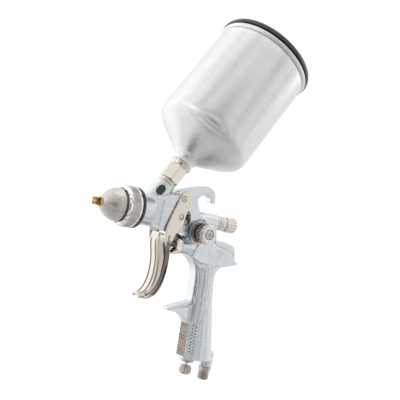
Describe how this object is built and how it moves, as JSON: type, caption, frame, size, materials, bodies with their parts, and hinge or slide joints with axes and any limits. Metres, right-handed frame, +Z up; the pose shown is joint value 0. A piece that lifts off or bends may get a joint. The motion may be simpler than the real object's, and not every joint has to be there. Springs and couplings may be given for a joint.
{
  "type": "gravity-feed spray gun",
  "caption": "Gravity-feed HVLP spray gun with an aluminium cup leaning over a satin cast body, a plated trigger, adjusting knobs and a hanging hook.",
  "frame": {"origin": "crown of the hanging hook, where the gun rests on a peg", "axes": "+X along the barrel from the air cap towards the fluid knob, +Z up, +Y to the gun's right"},
  "size_m": [0.1939, 0.0968, 0.34],
  "materials": {
    "satin_casting": "satin chrome-plated casting",
    "bright_nickel": "polished nickel plate",
    "ring_nickel": "fine straight-knurled plate with a warm grey tone",
    "dark_fitting": "turned warm grey plate",
    "brass": "machined brass",
    "stainless": "turned stainless steel",
    "spring_steel": "drawn spring wire",
    "cup_aluminium": "spun and brushed aluminium",
    "black_plastic": "gloss black",
    "rubber": "matt black",
    "ptfe": "white sealing plastic"
  },
  "bodies": {
    "root": {"gun_body": "satin_casting", "boss_inlay": "black_plastic", "baffle_ring": "black_plastic", "fluid_nozzle": "stainless", "needle_packing": "ptfe", "packing_nut": "brass", "needle_spring": "spring_steel", "rear_bushing": "stainless", "air_valve_nut": "bright_nickel", "air_valve_seat": "brass", "air_valve_spring": "spring_steel", "fan_valve_nut": "bright_nickel", "micrometer_body": "dark_fitting", "air_inlet": "dark_fitting", "trigger_pivot": "stainless", "trigger_screw": "stainless", "cup_nipple": "bright_nickel"},
    "trigger": {"trigger": "bright_nickel", "trigger_crossbar": "stainless"},
    "needle": {"fluid_needle": "stainless"},
    "air_valve": {"air_valve_stem": "stainless", "air_valve_poppet": "brass"},
    "retaining_ring": {"retaining_ring": "ring_nickel"},
    "air_cap": {"air_cap": "bright_nickel", "air_cap_horns": "brass"},
    "needle_stop": {"needle_stop": "stainless"},
    "fluid_knob": {"fluid_knob": "bright_nickel"},
    "fan_stem": {"fan_stem": "stainless"},
    "fan_knob": {"fan_knob": "bright_nickel", "fan_knob_screw": "stainless"},
    "micrometer_stem": {"micrometer_stem": "stainless"},
    "micrometer_knob": {"micrometer_knob": "dark_fitting"},
    "cup_nut": {"cup_nut": "bright_nickel"},
    "cup": {"cup": "cup_aluminium", "cup_filter": "ptfe"},
    "lid": {"lid": "black_plastic", "lid_gasket": "rubber", "vent_cap": "rubber"}
  },
  "joints": [
    {"name": "trigger_pull", "type": "hinge", "parent": "root", "child": "trigger", "pos_m": [-0.0295, 0, -0.0072], "axis": [0, -1, 0], "range_deg": [0, 14], "stiffness_Nm_per_rad": 2, "springref_deg": -11.46},
    {"name": "needle_slide", "type": "slide", "parent": "root", "child": "needle", "axis": [1, 0, 0], "range_m": [0, 0.004], "deforming": ["needle_spring"]},
    {"name": "air_valve_slide", "type": "slide", "parent": "root", "child": "air_valve", "axis": [1, 0, 0], "range_m": [0, 0.0103], "deforming": ["air_valve_spring"]},
    {"name": "retaining_ring_turn", "type": "hinge", "parent": "root", "child": "retaining_ring", "pos_m": [-0.08, 0, -0.0232], "axis": [1, 0, 0], "continuous": true},
    {"name": "air_cap_turn", "type": "hinge", "parent": "root", "child": "air_cap", "pos_m": [-0.095, 0, -0.0232], "axis": [1, 0, 0], "continuous": true},
    {"name": "needle_stop_slide", "type": "slide", "parent": "root", "child": "needle_stop", "axis": [1, 0, 0], "range_m": [0, 0.003]},
    {"name": "fluid_knob_turn", "type": "hinge", "parent": "needle_stop", "child": "fluid_knob", "pos_m": [0.034, 0, -0.0232], "axis": [1, 0, 0], "range_deg": [0, 1080]},
    {"name": "fan_stem_slide", "type": "slide", "parent": "root", "child": "fan_stem", "axis": [0, -1, 0], "range_m": [0, 0.002]},
    {"name": "fan_knob_turn", "type": "hinge", "parent": "fan_stem", "child": "fan_knob", "pos_m": [-0.0032, -0.02, -0.0343], "axis": [0, -1, 0], "range_deg": [0, 720]},
    {"name": "micrometer_stem_slide", "type": "slide", "parent": "root", "child": "micrometer_stem", "axis": [0, 0, -1], "range_m": [0, 0.002]},
    {"name": "micrometer_knob_turn", "type": "hinge", "parent": "micrometer_stem", "child": "micrometer_knob", "pos_m": [0.022, 0, -0.1632], "axis": [0, 0, -1], "range_deg": [0, 720]},
    {"name": "cup_nut_turn", "type": "hinge", "parent": "root", "child": "cup_nut", "pos_m": [-0.03688, 0, 0.01424], "axis": [0.5255, 0, 0.8508], "continuous": true},
    {"name": "cup_turn", "type": "hinge", "parent": "root", "child": "cup", "pos_m": [0.00306, 0, 0.0789], "axis": [0.5255, 0, 0.8508], "continuous": true},
    {"name": "lid_lift", "type": "slide", "parent": "cup", "child": "lid", "axis": [0.5255, 0, 0.8508], "range_m": [0, 0.03]}
  ],
  "couplings": [
    {"joint": "needle_slide", "follows": "trigger_pull", "m_per_rad": 0.0158},
    {"joint": "air_valve_slide", "follows": "trigger_pull", "m_per_rad": 0.042},
    {"joint": "fluid_knob_turn", "follows": "needle_stop_slide", "rad_per_m": 6283},
    {"joint": "fan_knob_turn", "follows": "fan_stem_slide", "rad_per_m": 6283},
    {"joint": "micrometer_knob_turn", "follows": "micrometer_stem_slide", "rad_per_m": 6283}
  ]
}
